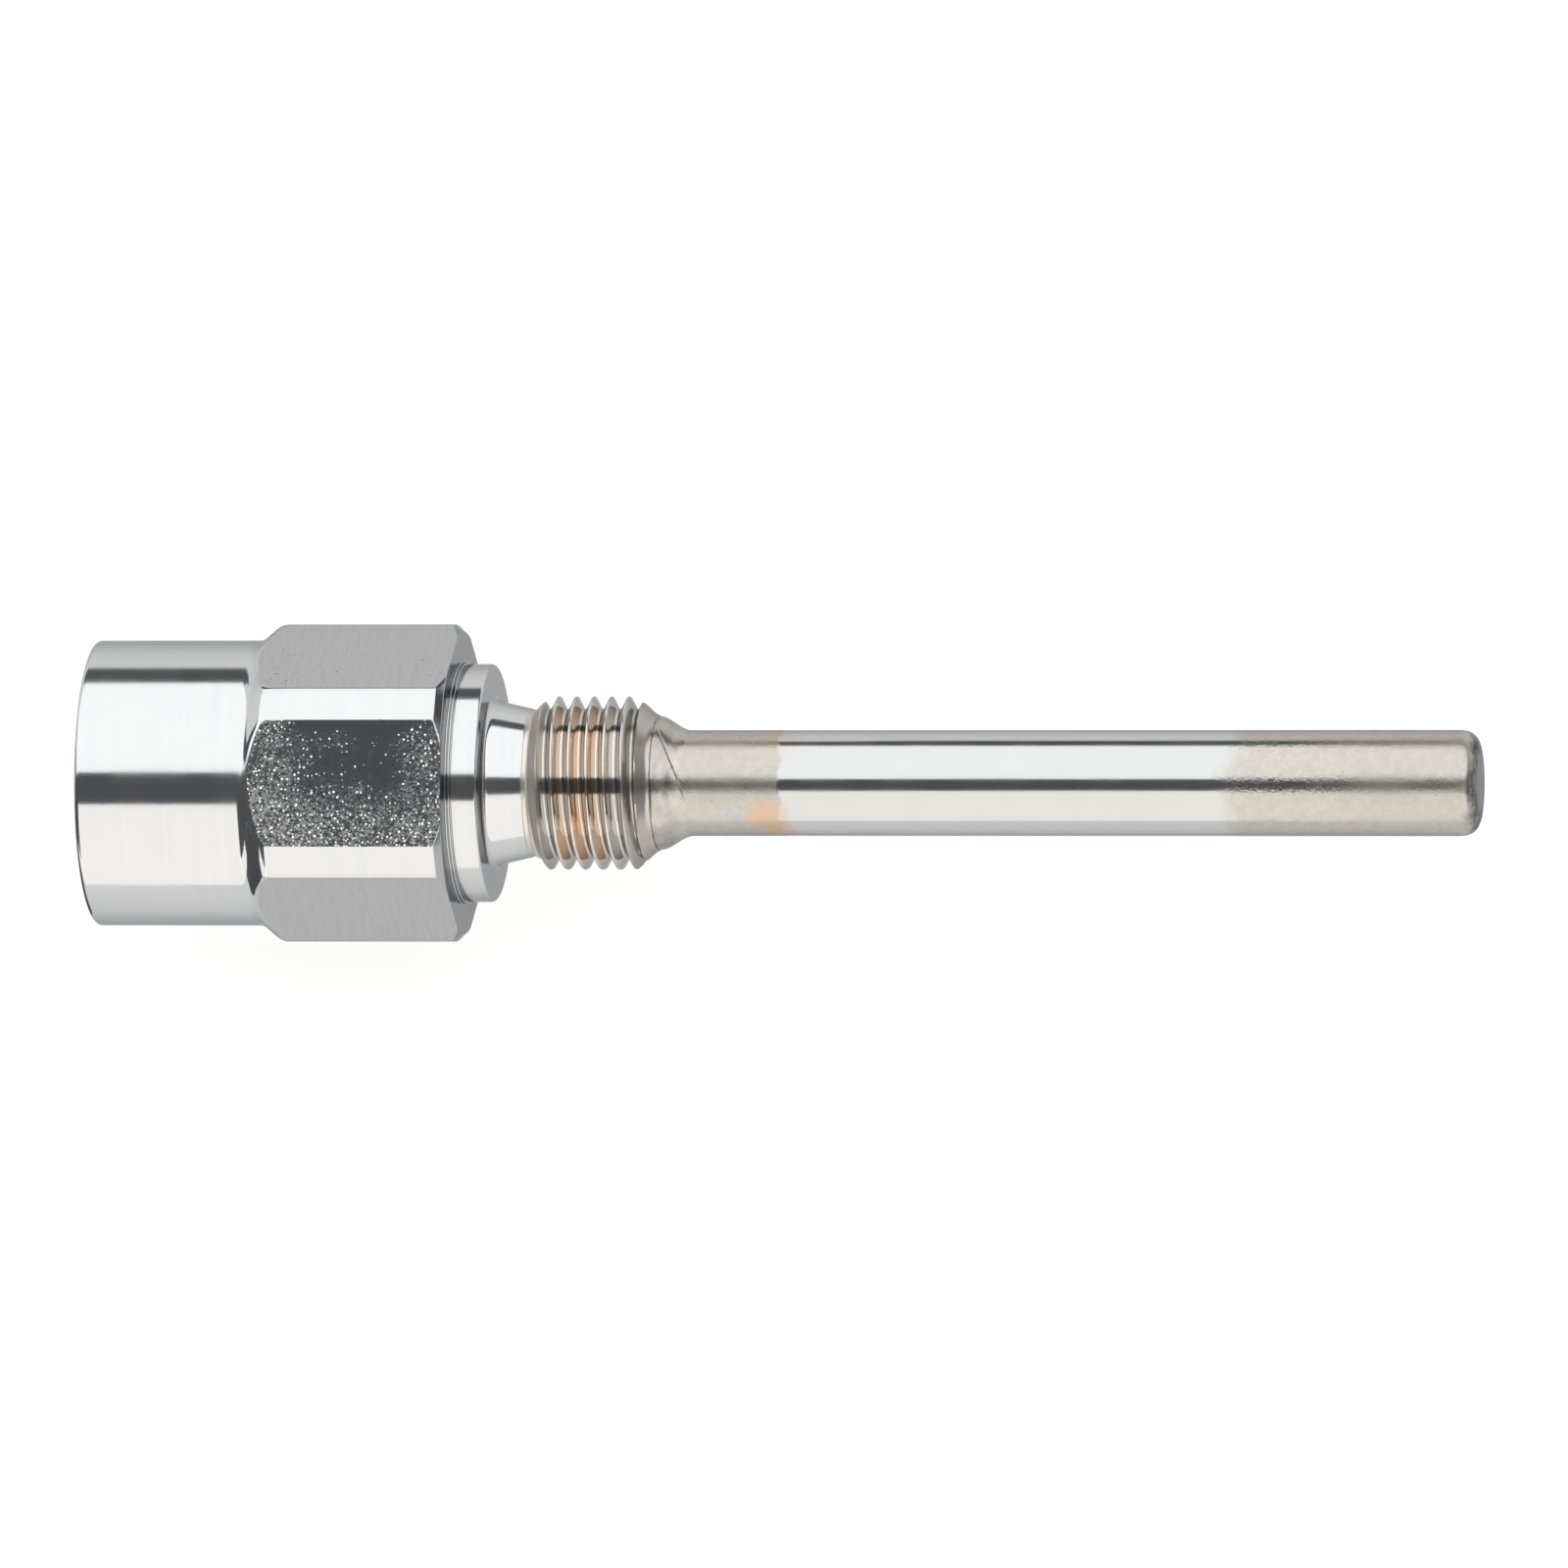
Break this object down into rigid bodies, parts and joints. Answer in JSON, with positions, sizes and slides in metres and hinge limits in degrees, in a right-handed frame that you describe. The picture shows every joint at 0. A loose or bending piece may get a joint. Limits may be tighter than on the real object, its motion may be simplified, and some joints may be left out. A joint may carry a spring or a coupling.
{
  "type": "thermowell",
  "caption": "Stepped metal thermowell: threaded sensor socket, hexagon, sealing collar and pipe-thread nose, welded to a slim closed probe tube.",
  "frame": {"origin": "on the axis at the first full crest of the process thread, 4.8 mm beyond the sealing face", "axes": "+X along the axis towards the closed tip, +Z normal to a hexagon flat, +Y towards a hexagon corner"},
  "size_m": [0.1054, 0.024, 0.022],
  "materials": {
    "machined_steel": "turned and polished, hexagon flats fine-blasted",
    "tube_steel": "polished along the middle, matt near the welds",
    "weld_steel": "as welded, faint heat tint"
  },
  "bodies": {
    "root": {"socket_body": "machined_steel", "probe_tube": "tube_steel", "root_weld": "weld_steel", "end_plug": "tube_steel"}
  },
  "joints": []
}
